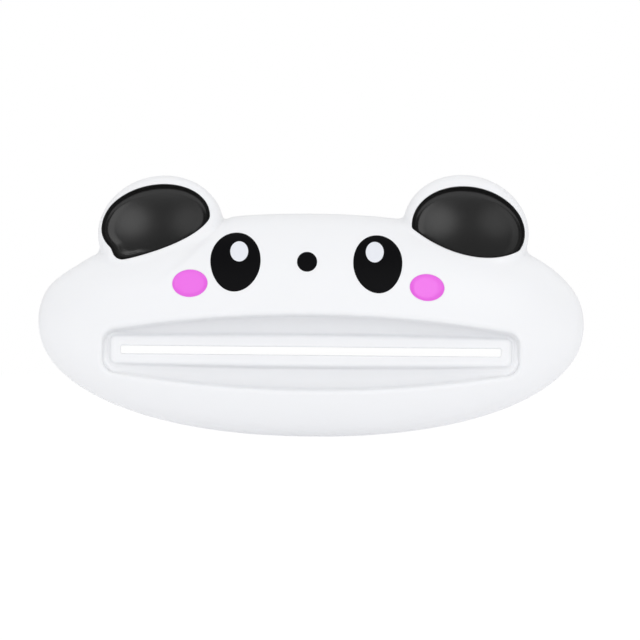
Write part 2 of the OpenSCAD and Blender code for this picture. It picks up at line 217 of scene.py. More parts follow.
@dataclass(frozen=True)
class HeadForm:
    """Outline and section of the head and of its two ears."""

    SAMPLES = 4000
    HEAD_ENDS = 0.75
    EAR_ENDS = 0.6

    half_width: float
    rise: float = 19.0 * MM
    drop: float = 19.8 * MM
    square: float = 2.17
    middle_z: float = 4.9 * MM
    section_square: float = 2.3
    ear_in: float = 20.7 * MM
    ear_rise: float = 16.4 * MM
    ear_half_width: float = 11.0 * MM
    ear_half_height: float = 9.485 * MM
    ear_tilt: float = math.radians(14.0)
    ear_square: float = 5.0
    blend: float = 1.1 * MM
    left_ear_moved: tuple[float, float] = (0.5 * MM, -0.6 * MM)
    brow_count: int = 40
    ear_count: int = 96
    cheek_count: int = 36
    chin_count: int = 84

    @property
    def ear(self) -> np.ndarray:
        """Centre of the right ear, as X and Z."""
        return np.array([self.half_width - self.ear_in, self.middle_z + self.ear_rise])

    @property
    def count(self) -> int:
        """Number of points on a whole outline."""
        return 2 * (self.brow_count + self.ear_count + self.cheek_count + self.chin_count)

    def shares(self, points: np.ndarray, inset: float = 0.0) -> tuple[np.ndarray, np.ndarray]:
        """Finds where points lie in the head and in the ear on their side.

        Args:
            points: Flat points, as X and Z.
            inset: How far both outlines are drawn in.

        Returns:
            The share of the way from the middle to the outline, of the head and of the ear.
        """
        up = points[:, 1] - self.middle_z
        half_height = np.where(up > 0.0, self.rise, self.drop) - inset
        head = power(power(np.abs(points[:, 0]) / (self.half_width - inset), self.square)
                     + power(np.abs(up) / half_height, self.square), 1.0 / self.square)
        q = turned(np.stack([np.abs(points[:, 0]), points[:, 1]], axis=1) - self.ear,
                   self.ear_tilt)
        ear = np.hypot(q[:, 0] / (self.ear_half_width - inset),
                       q[:, 1] / (self.ear_half_height - inset))
        return head, ear

    def skin(self, points: np.ndarray, dome: Dome, inset: float = 0.0) -> np.ndarray:
        """Depth of the skin off the parting plane at flat points, without the soft blend.

        Args:
            points: Flat points, as X and Z.
            dome: The face of the head.
            inset: How far the skin is drawn in.

        Returns:
            The depth at each point, never below zero.
        """
        head, ear = self.shares(points, inset)
        n, m = self.section_square, self.ear_square
        return np.maximum((dome.head_depth - inset) * power(1.0 - head ** n, 1.0 / n),
                          (dome.ear_depth - inset) * power(1.0 - ear ** m, 1.0 / m))

    def outline(self, dome: Dome, level: float = 0.0, inset: float = 0.0) -> np.ndarray:
        """Draws the outline of head and ears together where the skin has a given depth.

        Args:
            dome: The face of the head that the level is measured on.
            level: Depth off the parting plane.
            inset: How far both outlines are drawn in.

        Returns:
            A closed line of points from the crown clockwise, as X and Z.
        """
        n, m = self.section_square, self.ear_square
        head = (1.0 - (level / dome.head_depth) ** n) ** (1.0 / n)
        lobe = (1.0 - (level / dome.ear_depth) ** m) ** (1.0 / m)
        wide = (self.half_width - inset) * head
        ear_half = np.array([self.ear_half_width - inset, self.ear_half_height - inset]) * lobe

        def head_line(start: float, end: float) -> np.ndarray:
            a = np.linspace(start, end, self.SAMPLES)
            high = np.where(a > 0.0, self.rise - inset, self.drop - inset) * head
            up = high * power(1.0 - np.abs(np.cos(a)) ** self.square, 1.0 / self.square)
            return np.stack([wide * np.cos(a), self.middle_z + np.sign(a) * up], axis=1)

        def off_ear(points: np.ndarray) -> np.ndarray:
            q = turned(points - self.ear, self.ear_tilt) / ear_half
            return np.hypot(q[:, 0], q[:, 1]) - 1.0

        def ear_angle(point: np.ndarray) -> float:
            q = turned((point - self.ear)[None], self.ear_tilt)[0] / ear_half
            a = math.atan2(q[1], q[0])
            return a + FULL_TURN if a < -QUARTER else a

        top = head_line(QUARTER, 0.0)
        covered = np.flatnonzero(off_ear(top) < 0.0)
        brow, cheek = top[:covered[0]], top[covered[-1] + 1:]
        a = np.linspace(ear_angle(brow[-1]), ear_angle(cheek[0]), self.SAMPLES)
        lobe_line = self.ear + turned(
            np.stack([ear_half[0] * np.cos(a), ear_half[1] * np.sin(a)], axis=1),
            -self.ear_tilt)
        chin = head_line(0.0, -QUARTER)
        return mirrored(np.vstack([
            spaced(brow, self.brow_count + 1, ends=self.HEAD_ENDS)[:-1],
            spaced(lobe_line, self.ear_count + 1, ends=self.EAR_ENDS)[:-1],
            spaced(cheek, self.cheek_count + 1, ends=self.HEAD_ENDS)[:-1],
            spaced(chin, self.chin_count + 1)]))


@dataclass(frozen=True)
class Band:
    """A long closed form with a crown and round corners, such as the slot or the lip."""

    CROWN_SAMPLES = 1500
    CORNER_SAMPLES = 300
    CORNER_WEIGHT = 1.2 * MM
    SHARPEST = 0.05 * MM

    half_width: float
    middle: float
    end: float
    radius: float
    lowered: float = 0.0

    def line(self, count: int, grow: float = 0.0) -> np.ndarray:
        """Draws the form, grown on all sides, as closed points from the crown clockwise.

        Args:
            count: How many points to return, in fours.
            grow: How far to grow it.

        Returns:
            The points, as X and Z.
        """
        wide, radius = self.half_width + grow, max(self.radius + grow, self.SHARPEST)
        x = np.linspace(0.0, wide - radius, self.CROWN_SAMPLES)
        crown = self.end + grow + (self.middle - self.end) * (1.0 - (x / wide) ** 2)
        a = np.linspace(QUARTER, 0.0, self.CORNER_SAMPLES)[1:]
        corner = np.stack([wide - radius + radius * np.cos(a),
                           crown[-1] - radius + radius * np.sin(a)], axis=1)
        z = np.linspace(corner[-1, 1], 0.0, self.CORNER_SAMPLES)[1:]
        side = np.stack([np.full(len(z), wide), z], axis=1)
        upper = np.vstack([np.stack([x, crown], axis=1), corner, side])
        quarter = spaced(upper, count // 4 + 1, corner=self.CORNER_WEIGHT)
        lower = quarter[-2::-1] * np.array([1.0, -1.0])
        return mirrored(np.vstack([quarter, lower])) - np.array([0.0, self.lowered])


class Draft:
    """Points and faces of one piece while it is drawn, with a skin mark for each point."""

    GUIDE_REACH = 0.16 * MM
    FREE_REACH = 0.6
    SAME_POINT = 1e-6

    def __init__(self) -> None:
        """Starts an empty draft."""
        self.points: list[tuple[float, float, float]] = []
        self.on_skin: list[float] = []
        self.sunk: list[float] = []
        self.drawn_in: list[float] = []
        self.faces: list[tuple[int, ...]] = []

    def ring(self, plan: np.ndarray, y: np.ndarray | float = 0.0, on_skin: float = 0.0,
             sunk: float = 0.0, drawn_in: float = 0.0) -> list[int]:
        """Adds points and returns their numbers.

        Args:
            plan: The points, as X and Z.
            y: Their depth, where they don't lie on the skin.
            on_skin: 1 to lie on the skin, 0 to stay at that depth, and in between to move
                sideways with the skin's outline alone.
            sunk: How far the points lie under the skin, along Y.
            drawn_in: How far they are then drawn in, square to the skin.

        Returns:
            The numbers of the new points, in the same order.
        """
        first = len(self.points)
        depth = np.broadcast_to(y, (len(plan),))
        self.points += [(float(p[0]), float(d), float(p[1])) for p, d in zip(plan, depth)]
        for marks, mark in ((self.on_skin, on_skin), (self.sunk, sunk),
                            (self.drawn_in, drawn_in)):
            marks += [mark] * len(plan)
        return list(range(first, first + len(plan)))

    def bridge(self, *rings: list[int]) -> None:
        """Joins rings of equal count, each to the next, with four-sided faces.

        Args:
            rings: The rings, as numbers of points.
        """
        for a, b in zip(rings, rings[1:]):
            for i, j in zip(range(len(a)), list(range(1, len(a))) + [0]):
                self.faces.append((a[i], a[j], b[j], b[i]))

    def cap(self, ring: list[int], tip: int) -> None:
        """Closes a ring with three-sided faces that meet in one point.

        Args:
            ring: The ring's points.
            tip: The point in its middle.
        """
        for i, j in zip(ring, ring[1:] + ring[:1]):
            self.faces.append((i, j, tip))

    def fill(self, outer: list[int], holes: list[list[int]], guides: list[np.ndarray],
             spacing: float) -> None:
        """Covers the skin between an outer ring and the holes in it.

        Args:
            outer: The ring round the region.
            holes: The rings that the region leaves open.
            guides: Lines of free points that follow the skin where it bends most.
            spacing: Distance between the free points elsewhere in the region.
        """
        loops = [outer, *holes]
        lines = [np.array([self.points[i] for i in loop])[:, ::2] / MM for loop in loops]
        fixed = np.vstack(lines)
        gap = spacing / MM

        def open_part(points: np.ndarray, taken: np.ndarray, reach: float) -> np.ndarray:
            keep = inside(points, lines[0])
            for hole in lines[1:]:
                keep &= ~inside(points, hole)
            points = points[keep]
            near = np.array([np.min(np.sum((taken - p) ** 2, axis=1)) for p in points])
            return points[near > reach ** 2]

        free = np.empty((0, 2))
        for guide in guides:
            taken = np.vstack([fixed, free])
            free = np.vstack([free, open_part(guide / MM, taken, self.GUIDE_REACH / MM)])
        low, high = fixed.min(axis=0), fixed.max(axis=0)
        rows = []
        for k, z in enumerate(np.arange(low[1], high[1], gap * math.sqrt(3.0) / 2.0)):
            x = np.arange(low[0] + gap / 2.0 * (k % 2), high[0], gap)
            rows.append(np.stack([x, np.full(len(x), z)], axis=1))
        taken = np.vstack([fixed, free])
        free = np.vstack([free, open_part(np.vstack(rows), taken,
                                          self.FREE_REACH * gap)])

        edges, start = [], 0
        for loop in loops:
            n = len(loop)
            edges += [(start + i, start + (i + 1) % n) for i in range(n)]
            start += n
        numbers = [i for loop in loops for i in loop] + self.ring(free * MM, on_skin=1.0)
        flat = [Vector(p) for p in np.vstack([fixed, free])]
        corners, _, found, origin, _, _ = geometry.delaunay_2d_cdt(flat, edges, [], 0,
                                                                   self.SAME_POINT)
        middles = np.array([np.mean([corners[i] for i in f], axis=0) for f in found])
        good = inside(middles, lines[0])
        for hole in lines[1:]:
            good &= ~inside(middles, hole)
        for f, wanted in zip(found, good):
            if wanted:
                self.faces.append(tuple(numbers[origin[i][0]] for i in f))

    def mesh(self, name: str) -> bpy.types.Mesh:
        """Makes a mesh of the draft, with its marks as attributes of the points.

        Args:
            name: The mesh's name.

        Returns:
            The mesh.
        """
        mesh = bpy.data.meshes.new(name)
        mesh.from_pydata(self.points, [], self.faces)
        for label, marks in (("on_skin", self.on_skin), ("sunk", self.sunk),
                             ("drawn_in", self.drawn_in)):
            mesh.attributes.new(label, "FLOAT", "POINT").data.foreach_set("value", marks)
        return mesh


class Number:
    """A number that a node tree works out at each point, with the usual signs of sums."""

    def __init__(self, tree: bpy.types.NodeTree, source: bpy.types.NodeSocket | float) -> None:
        """Wraps a node's output, or a plain number, that belongs to a tree.

        Args:
            tree: The tree that the number is worked out in.
            source: The output or number.
        """
        self.tree = tree
        self.source = source

    def put(self, socket: bpy.types.NodeSocket) -> None:
        """Feeds this number to a node's input.

        Args:
            socket: The input.
        """
        if isinstance(self.source, (int, float)):
            socket.default_value = self.source
        else:
            self.tree.links.new(self.source, socket)

    def work(self, operation: str, *others: Number | float) -> Number:
        """Works out a new number from this one and others, by a Math node's operation.

        Args:
            operation: The operation's name.
            others: The numbers that follow this one.

        Returns:
            The new number.
        """
        node = self.tree.nodes.new("ShaderNodeMath")
        node.operation = operation
        for socket, value in zip(node.inputs, (self, *others)):
            number = value if isinstance(value, Number) else Number(self.tree, value)
            number.put(socket)
        return Number(self.tree, node.outputs[0])

    def __add__(self, other: Number | float) -> Number:
        """Adds a number.

        Args:
            other: The number to add.

        Returns:
            The sum.
        """
        return self.work("ADD", other)

    def __sub__(self, other: Number | float) -> Number:
        """Takes a number away.

        Args:
            other: The number to take away.

        Returns:
            The difference.
        """
        return self.work("SUBTRACT", other)

    def __rsub__(self, other: float) -> Number:
        """Takes this number away from a plain one.

        Args:
            other: The plain number.

        Returns:
            The difference.
        """
        return Number(self.tree, other).work("SUBTRACT", self)

    def __mul__(self, other: Number | float) -> Number:
        """Multiplies by a number.

        Args:
            other: The number to multiply by.

        Returns:
            The product.
        """
        return self.work("MULTIPLY", other)

    def __truediv__(self, other: Number | float) -> Number:
        """Divides by a number.

        Args:
            other: The number to divide by.

        Returns:
            The quotient.
        """
        return self.work("DIVIDE", other)

    def __rtruediv__(self, other: float) -> Number:
        """Divides a plain number by this one.

        Args:
            other: The plain number.

        Returns:
            The quotient.
        """
        return Number(self.tree, other).work("DIVIDE", self)

    def __pow__(self, other: Number | float) -> Number:
        """Raises to a power, taking what is below zero as zero.

        Args:
            other: The power.

        Returns:
            The raised number.
        """
        return self.work("MAXIMUM", 0.0).work("POWER", other)

    def ramp(self, low: float, high: float) -> Number:
        """Runs softly from 0 at the low number to 1 at the high one.

        Args:
            low: Where it leaves 0.
            high: Where it reaches 1.

        Returns:
            The share between them.
        """
        node = self.tree.nodes.new("ShaderNodeMapRange")
        node.interpolation_type = "SMOOTHSTEP"
        self.put(node.inputs["Value"])
        node.inputs["From Min"].default_value = low
        node.inputs["From Max"].default_value = high
        return Number(self.tree, node.outputs["Result"])

    def size(self) -> Number:
        """Drops the sign.

        Returns:
            The size of the number.
        """
        return self.work("ABSOLUTE")


class SkinTree:
    """The node tree that raises marked points onto the soft form of head and ears."""

    STEPS = 10
    NUDGE = 0.01 * MM
    STEEP = 0.35
    HEAD_SCALE = 20.0 * MM
    EAR_SCALE = 9.0 * MM
    LAND_BLEND = 0.5 * MM
    ON_SKIN = 0.99
    MOVES_SIDEWAYS = 0.01
    UNSET_DEPTH = 0.001 * MM
    EAR_SIDE = (31.6 * MM, 35.0 * MM)
    EAR_FOOT = (5.0 * MM, 11.0 * MM)

    def __init__(self, form: HeadForm) -> None:
        """Builds the tree for one form of head and ears.

        Args:
            form: The sizes that a piece's modifier is given.
        """
        self.form = form
        self.tree = bpy.data.node_groups.new("soft_skin", "GeometryNodeTree")
        self.tree.is_modifier = True
        self.ids: dict[str, str] = {}
        face = self.tree.interface
        face.new_socket("Geometry", in_out="OUTPUT", socket_type="NodeSocketGeometry")
        face.new_socket("Geometry", in_out="INPUT", socket_type="NodeSocketGeometry")
        for name in ("Head half width", "Head rise", "Head drop", "Head middle",
                     "Head squareness", "Head depth", "Section squareness", "Ear out",
                     "Ear height", "Ear half width", "Ear half height", "Ear tilt",
                     "Ear depth", "Ear squareness", "Blend", "Facing", "Land",
                     "Left ear across", "Left ear up"):
            socket = face.new_socket(name, in_out="INPUT", socket_type="NodeSocketFloat")
            self.ids[name] = socket.identifier
        socket = face.new_socket("Material", in_out="INPUT",
                                 socket_type="NodeSocketMaterial")
        self.ids["Material"] = socket.identifier
        self.source = self.tree.nodes.new("NodeGroupInput")
        self._build()

    def _size(self, name: str) -> Number:
        """One of the tree's named inputs.

        Args:
            name: The input's name.

        Returns:
            Its value.
        """
        return Number(self.tree, self.source.outputs[name])

    def _mark(self, name: str) -> Number:
        """One of the marks that a draft gives each point.

        Args:
            name: The mark's name.

        Returns:
            The mark at each point.
        """
        node = self.tree.nodes.new("GeometryNodeInputNamedAttribute")
        node.data_type = "FLOAT"
        node.inputs["Name"].default_value = name
        return Number(self.tree, node.outputs["Attribute"])

    def _place(self) -> tuple[Number, Number, Number]:
        """The point's own X, Y and Z.

        Returns:
            The three numbers.
        """
        position = self.tree.nodes.new("GeometryNodeInputPosition")
        apart = self.tree.nodes.new("ShaderNodeSeparateXYZ")
        self.tree.links.new(position.outputs[0], apart.inputs[0])
        x, y, z = (Number(self.tree, s) for s in apart.outputs)
        return x, y, z

    def _shares(self, x: Number, z: Number) -> tuple[Number, Number]:
        """Where X and Z lie in the head and in the ear, 0 at the middle and 1 outside.

        Args:
            x: The point's X.
            z: The point's Z.

        Returns:
            The share in the head and in the ear.
        """
        up = z - self._size("Head middle")
        above = up.work("GREATER_THAN", 0.0)
        drop = self._size("Head drop")
        half_height = drop + above * (self._size("Head rise") - drop)
        n = self._size("Head squareness")
        head = ((x.size() / self._size("Head half width")) ** n
                + (up.size() / half_height) ** n) ** (1.0 / n)
        tilt = self._size("Ear tilt")
        c, s = tilt.work("COSINE"), tilt.work("SINE")
        out, high = x.size() - self._size("Ear out"), z - self._size("Ear height")
        along = (out * c - high * s) / self._size("Ear half width")
        across = (out * s + high * c) / self._size("Ear half height")
        return head, (along * along + across * across) ** 0.5

    def _rounded(self, share: Number, y: Number, depth: str, square: str) -> Number:
        """How far out a point is in a dome, 1 on its skin, from its share and its depth.

        Args:
            share: Where it lies in the dome's outline.
            y: Its depth.
            depth: The input that holds the dome's depth.
            square: The input that holds the dome's squareness.

        Returns:
            The share, 1 on the skin.
        """
        m = self._size(square)
        return (share ** m + (y.size() / self._size(depth)) ** m) ** (1.0 / m)

    def _off(self, x: Number, y: Number, z: Number) -> Number:
        """Rough distance of a point from the soft union of head and ear.

        Args:
            x: The point's X.
            y: The point's Y.
            z: The point's Z.

        Returns:
            The distance, below zero inside.
        """
        head, ear = self._shares(x, z)
        off_head = (self._rounded(head, y, "Head depth", "Section squareness")
                    - 1.0) * self.HEAD_SCALE
        off_ear = (self._rounded(ear, y, "Ear depth", "Ear squareness")
                   - 1.0) * self.EAR_SCALE
        blend = self._size("Blend")
        close = (blend - (off_head - off_ear).size()).work("MAXIMUM", 0.0)
        return off_head.work("MINIMUM", off_ear) - close * close / (blend * 4.0)

    def _slope(self) -> tuple[Number, tuple[Number, Number, Number]]:
        """Distance of each point from the form, and its slope along X, Y and Z.

        Returns:
            The distance and the three slopes.
        """
        x, y, z = self._place()
        here = self._off(x, y, z)
        nudge = self.NUDGE
        return here, ((self._off(x + nudge, y, z) - here) / nudge,
                      (self._off(x, y + nudge, z) - here) / nudge,
                      (self._off(x, y, z + nudge) - here) / nudge)

    def _move(self, geometry_in: bpy.types.NodeSocket,
              by: tuple[Number, Number, Number]) -> bpy.types.NodeSocket:
        """Adds a node that moves each point by three numbers, and returns its output.

        Args:
            geometry_in: The geometry to move.
            by: The way along X, Y and Z.

        Returns:
            The moved geometry.
        """
        joined = self.tree.nodes.new("ShaderNodeCombineXYZ")
        for number, socket in zip(by, joined.inputs):
            number.put(socket)
        node = self.tree.nodes.new("GeometryNodeSetPosition")
        self.tree.links.new(geometry_in, node.inputs["Geometry"])
        self.tree.links.new(joined.outputs[0], node.inputs["Offset"])
        return node.outputs["Geometry"]

    def _build(self) -> None:
        """Lays the tree out: raise, settle, flatten, sink, draw in, move the ear, dress."""
        tree, links = self.tree, self.tree.links
        none = Number(tree, 0.0)
        facing, on_skin = self._size("Facing"), self._mark("on_skin")
        full = on_skin.work("GREATER_THAN", self.ON_SKIN)
        x, y, z = self._place()
        head, ear = self._shares(x, z)
        n, m = self._size("Section squareness"), self._size("Ear squareness")
        raised = (self._size("Head depth") * (1.0 - head ** n) ** (1.0 / n)).work(
            "MAXIMUM", self._size("Ear depth") * (1.0 - ear ** m) ** (1.0 / m))
        unset = y.size().work("LESS_THAN", self.UNSET_DEPTH)
        flow = self._move(self.source.outputs["Geometry"],
                          (none, raised * facing * full * unset, none))

        enter = tree.nodes.new("GeometryNodeRepeatInput")
        leave = tree.nodes.new("GeometryNodeRepeatOutput")
        enter.pair_with_output(leave)
        enter.inputs["Iterations"].default_value = self.STEPS
        links.new(flow, enter.inputs["Geometry"])
        here, (gx, gy, gz) = self._slope()
        length = (gx * gx + gy * gy + gz * gz) ** 0.5
        sideways = (1.0 - gy.size() / length / self.STEEP).work("MAXIMUM", 0.0)
        dx, dz = gx * sideways, gz * sideways
        step = here / (dx * gx + gy * gy + dz * gz) * -1.0
        step = step * on_skin.work("GREATER_THAN", self.MOVES_SIDEWAYS)
        flow = self._move(enter.outputs["Geometry"],
                          (step * dx, step * gy * full, step * dz))
        links.new(flow, leave.inputs["Geometry"])
        flow = leave.outputs["Geometry"]

        _, y, _ = self._place()
        land, soft = self._size("Land"), self.LAND_BLEND
        over = y - land
        close = (soft - over.size()).work("MAXIMUM", 0.0)
        lowered = over.work("MAXIMUM", 0.0) + close * close / (4.0 * soft)
        has_land = land.work("GREATER_THAN", 0.0)
        flow = self._move(flow, (none, lowered * has_land * full * -1.0, none))
        here, (gx, gy, gz) = self._slope()
        length = (gx * gx + gy * gy + gz * gz) ** 0.5
        draw = self._mark("drawn_in") / length * -1.0
        flow = self._move(flow, (gx * draw, self._mark("sunk") * facing * -1.0, gz * draw))

        x, _, z = self._place()
        up = z - self._size("Head middle")
        moved = (up - x).ramp(*self.EAR_SIDE) * up.ramp(*self.EAR_FOOT)
        flow = self._move(flow, (self._size("Left ear across") * moved, none,
                                 self._size("Left ear up") * moved))

        smooth = tree.nodes.new("GeometryNodeSetShadeSmooth")
        real = tree.nodes.new("GeometryNodeRealizeInstances")
        dressed = tree.nodes.new("GeometryNodeSetMaterial")
        out = tree.nodes.new("NodeGroupOutput")
        links.new(flow, smooth.inputs["Geometry"])
        links.new(smooth.outputs["Geometry"], real.inputs["Geometry"])
        links.new(real.outputs["Geometry"], dressed.inputs["Geometry"])
        links.new(self.source.outputs["Material"], dressed.inputs["Material"])
        links.new(dressed.outputs["Geometry"], out.inputs["Geometry"])

    def make(self, name: str, draft: Draft, dome: Dome,
             material: bpy.types.Material) -> bpy.types.Object:
        """Turns a draft into a finished piece on one face of the head.

        Args:
            name: The piece's name.
            draft: Its points and faces.
            dome: The face of the head that it lies on.
            material: Its finish.

        Returns:
            The piece, a plain closed mesh with its faces outwards.
        """
        form = self.form
        piece = bpy.data.objects.new(name, draft.mesh(name + "_draft"))
        bpy.context.scene.collection.objects.link(piece)
        modifier = piece.modifiers.new("soft_skin", "NODES")
        modifier.node_group = self.tree
        values = {
            "Head half width": form.half_width, "Head rise": form.rise,
            "Head drop": form.drop, "Head middle": form.middle_z,
            "Head squareness": form.square, "Head depth": dome.head_depth,
            "Section squareness": form.section_square, "Ear out": float(form.ear[0]),
            "Ear height": float(form.ear[1]), "Ear half width": form.ear_half_width,
            "Ear half height": form.ear_half_height, "Ear tilt": form.ear_tilt,
            "Ear depth": dome.ear_depth, "Ear squareness": form.ear_square,
            "Blend": form.blend, "Facing": float(dome.facing.value), "Land": dome.land,
            "Left ear across": form.left_ear_moved[0], "Left ear up": form.left_ear_moved[1],
            "Material": material}
        for label, value in values.items():
            modifier[self.ids[label]] = value
        seen = piece.evaluated_get(bpy.context.evaluated_depsgraph_get())
        mesh = bpy.data.meshes.new_from_object(seen)
        mesh.name = name
        piece.modifiers.clear()
        piece.data = mesh
        tidy = bmesh.new()
        tidy.from_mesh(mesh)
        bmesh.ops.recalc_face_normals(tidy, faces=tidy.faces)
        tidy.to_mesh(mesh)
        tidy.free()
        for label in ("on_skin", "sunk", "drawn_in"):
            mesh.attributes.remove(mesh.attributes[label])
        return piece


@dataclass(frozen=True)
class Finish:
    """A moulded, painted or printed surface with faint unevenness.

    Fields hold the colour, how rough it is and by how much that varies, the size and
    height of its fine ripple, and the share of a clear coat over it.
    """

    CLOUD_SCALE = 90.0
    CLOUD_DETAIL = 3.0
    CLOUD_RANGE = (0.3, 0.7)
    RIPPLE_DETAIL = 2.0
    GLOW_RADIUS = (1.0, 0.95, 0.9)
    GLOW_DEPTH = 0.6 * MM

    name: str
    slot: str
    colour: tuple[float, float, float]
    roughness: float
    roughness_spread: float
    ripple_size: float
    ripple_height: float
    colour_spread: float = 0.02
    coat: float = 0.0
    coat_roughness: float = 0.1
    glow: float = 0.0
    specular: float = 0.5

    def material(self) -> bpy.types.Material:
        """Makes the material, once for each name.

        Returns:
            The material.
        """
        made = bpy.data.materials.get(self.name)
        if made:
            return made
        made = bpy.data.materials.new(self.name)
        made.use_nodes = True
        nodes, links = made.node_tree.nodes, made.node_tree.links
        nodes.clear()
        out = nodes.new("ShaderNodeOutputMaterial")
        shader = nodes.new("ShaderNodeBsdfPrincipled")
        place = nodes.new("ShaderNodeTexCoord")
        links.new(shader.outputs["BSDF"], out.inputs["Surface"])

        cloud = nodes.new("ShaderNodeTexNoise")
        cloud.inputs["Scale"].default_value = self.CLOUD_SCALE
        cloud.inputs["Detail"].default_value = self.CLOUD_DETAIL
        links.new(place.outputs["Object"], cloud.inputs["Vector"])
        tint = nodes.new("ShaderNodeMix")
        tint.data_type = "RGBA"
        low = [c * (1.0 - self.colour_spread) for c in self.colour]
        high = [min(1.0, c * (1.0 + self.colour_spread)) for c in self.colour]
        tint.inputs["A"].default_value = (*low, 1.0)
        tint.inputs["B"].default_value = (*high, 1.0)
        links.new(cloud.outputs["Fac"], tint.inputs["Factor"])
        links.new(tint.outputs["Result"], shader.inputs["Base Color"])

        rub = nodes.new("ShaderNodeMapRange")
        rub.inputs["From Min"].default_value = self.CLOUD_RANGE[0]
        rub.inputs["From Max"].default_value = self.CLOUD_RANGE[1]
        rub.inputs["To Min"].default_value = self.roughness - self.roughness_spread
        rub.inputs["To Max"].default_value = self.roughness + self.roughness_spread
        links.new(cloud.outputs["Fac"], rub.inputs["Value"])
        links.new(rub.outputs["Result"], shader.inputs["Roughness"])

        ripple = nodes.new("ShaderNodeTexNoise")
        ripple.inputs["Scale"].default_value = 1.0 / self.ripple_size
        ripple.inputs["Detail"].default_value = self.RIPPLE_DETAIL
        links.new(place.outputs["Object"], ripple.inputs["Vector"])
        bump = nodes.new("ShaderNodeBump")
        bump.inputs["Strength"].default_value = 1.0
        bump.inputs["Distance"].default_value = self.ripple_height
        links.new(ripple.outputs["Fac"], bump.inputs["Height"])
        links.new(bump.outputs["Normal"], shader.inputs["Normal"])

        shader.inputs["Specular IOR Level"].default_value = self.specular
        shader.inputs["Coat Weight"].default_value = self.coat
        shader.inputs["Coat Roughness"].default_value = self.coat_roughness
        shader.inputs["Subsurface Weight"].default_value = self.glow
        shader.inputs["Subsurface Radius"].default_value = self.GLOW_RADIUS
        shader.inputs["Subsurface Scale"].default_value = self.GLOW_DEPTH
        return made


WHITE = Finish("white_satin_plastic", "white_plastic", (0.825, 0.832, 0.85), 0.38, 0.05,
               0.5 * MM, 0.0015 * MM, colour_spread=0.006, glow=0.15)
BLACK = Finish("black_gloss_paint", "black_gloss_paint", (0.004, 0.004, 0.0045), 0.1, 0.015,
               3.0 * MM, 0.006 * MM, colour_spread=0.1, specular=0.3)
INK = Finish("black_print_ink", "black_ink", (0.0025, 0.0025, 0.0034), 0.45, 0.05,
             0.3 * MM, 0.001 * MM, colour_spread=0.1, specular=0.1)
GLINT = Finish("pale_print_ink", "pale_grey_ink", (0.74, 0.76, 0.81), 0.45, 0.05,
               0.3 * MM, 0.001 * MM)
PINK = Finish("pink_gloss_paint", "pink_paint", (0.79, 0.125, 0.75), 0.3, 0.05,
              0.8 * MM, 0.004 * MM, colour_spread=0.03, coat=0.3)


@dataclass(frozen=True)
class Oval:
    """A tilted oval, as on the right side of the face."""

    centre: tuple[float, float]
    half: tuple[float, float]
    tilt: float

    def reach(self, middle: np.ndarray, way: np.ndarray, inset: float) -> np.ndarray:
        """How far the oval's outline lies from a point inside it.

        Args:
            middle: The point, as X and Z.
            way: The directions to look in, each of length 1.
            inset: How far the oval is drawn in.

        Returns:
            The distance along each direction.
        """
        half = np.array(self.half) - inset
        start = turned((middle - self.centre)[None], self.tilt)[0] / half
        e = turned(way, self.tilt) / half
        along, square = e @ start, np.sum(e * e, axis=1)
        return (np.sqrt(along ** 2 + (1.0 - start @ start) * square) - along) / square


